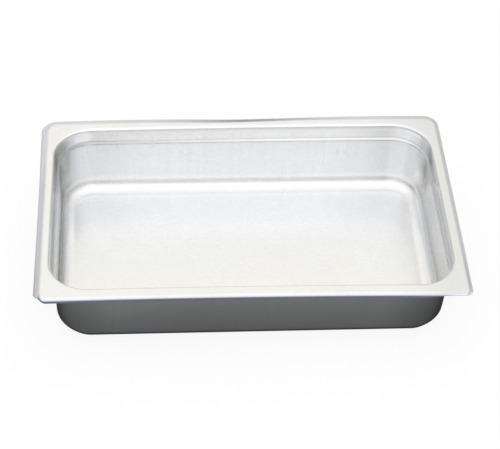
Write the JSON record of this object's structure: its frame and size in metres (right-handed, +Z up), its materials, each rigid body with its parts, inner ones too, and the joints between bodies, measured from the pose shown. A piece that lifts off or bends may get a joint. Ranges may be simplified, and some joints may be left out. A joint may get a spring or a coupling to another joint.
{
  "type": "steam table food pan",
  "caption": "Full-size rectangular stainless food pan, drawn from sheet, with a flat flange, turned-down lip, stacking shoulder and rounded floor edge.",
  "frame": {"origin": "centre of the base underside, the face the pan stands on", "axes": "+X along the length, +Y across the width towards the back, +Z up out of the opening"},
  "size_m": [0.527, 0.324, 0.1],
  "materials": {
    "stainless_sheet": "satin, fine brushed grain"
  },
  "bodies": {
    "root": {"pan_body": "stainless_sheet"}
  },
  "joints": []
}
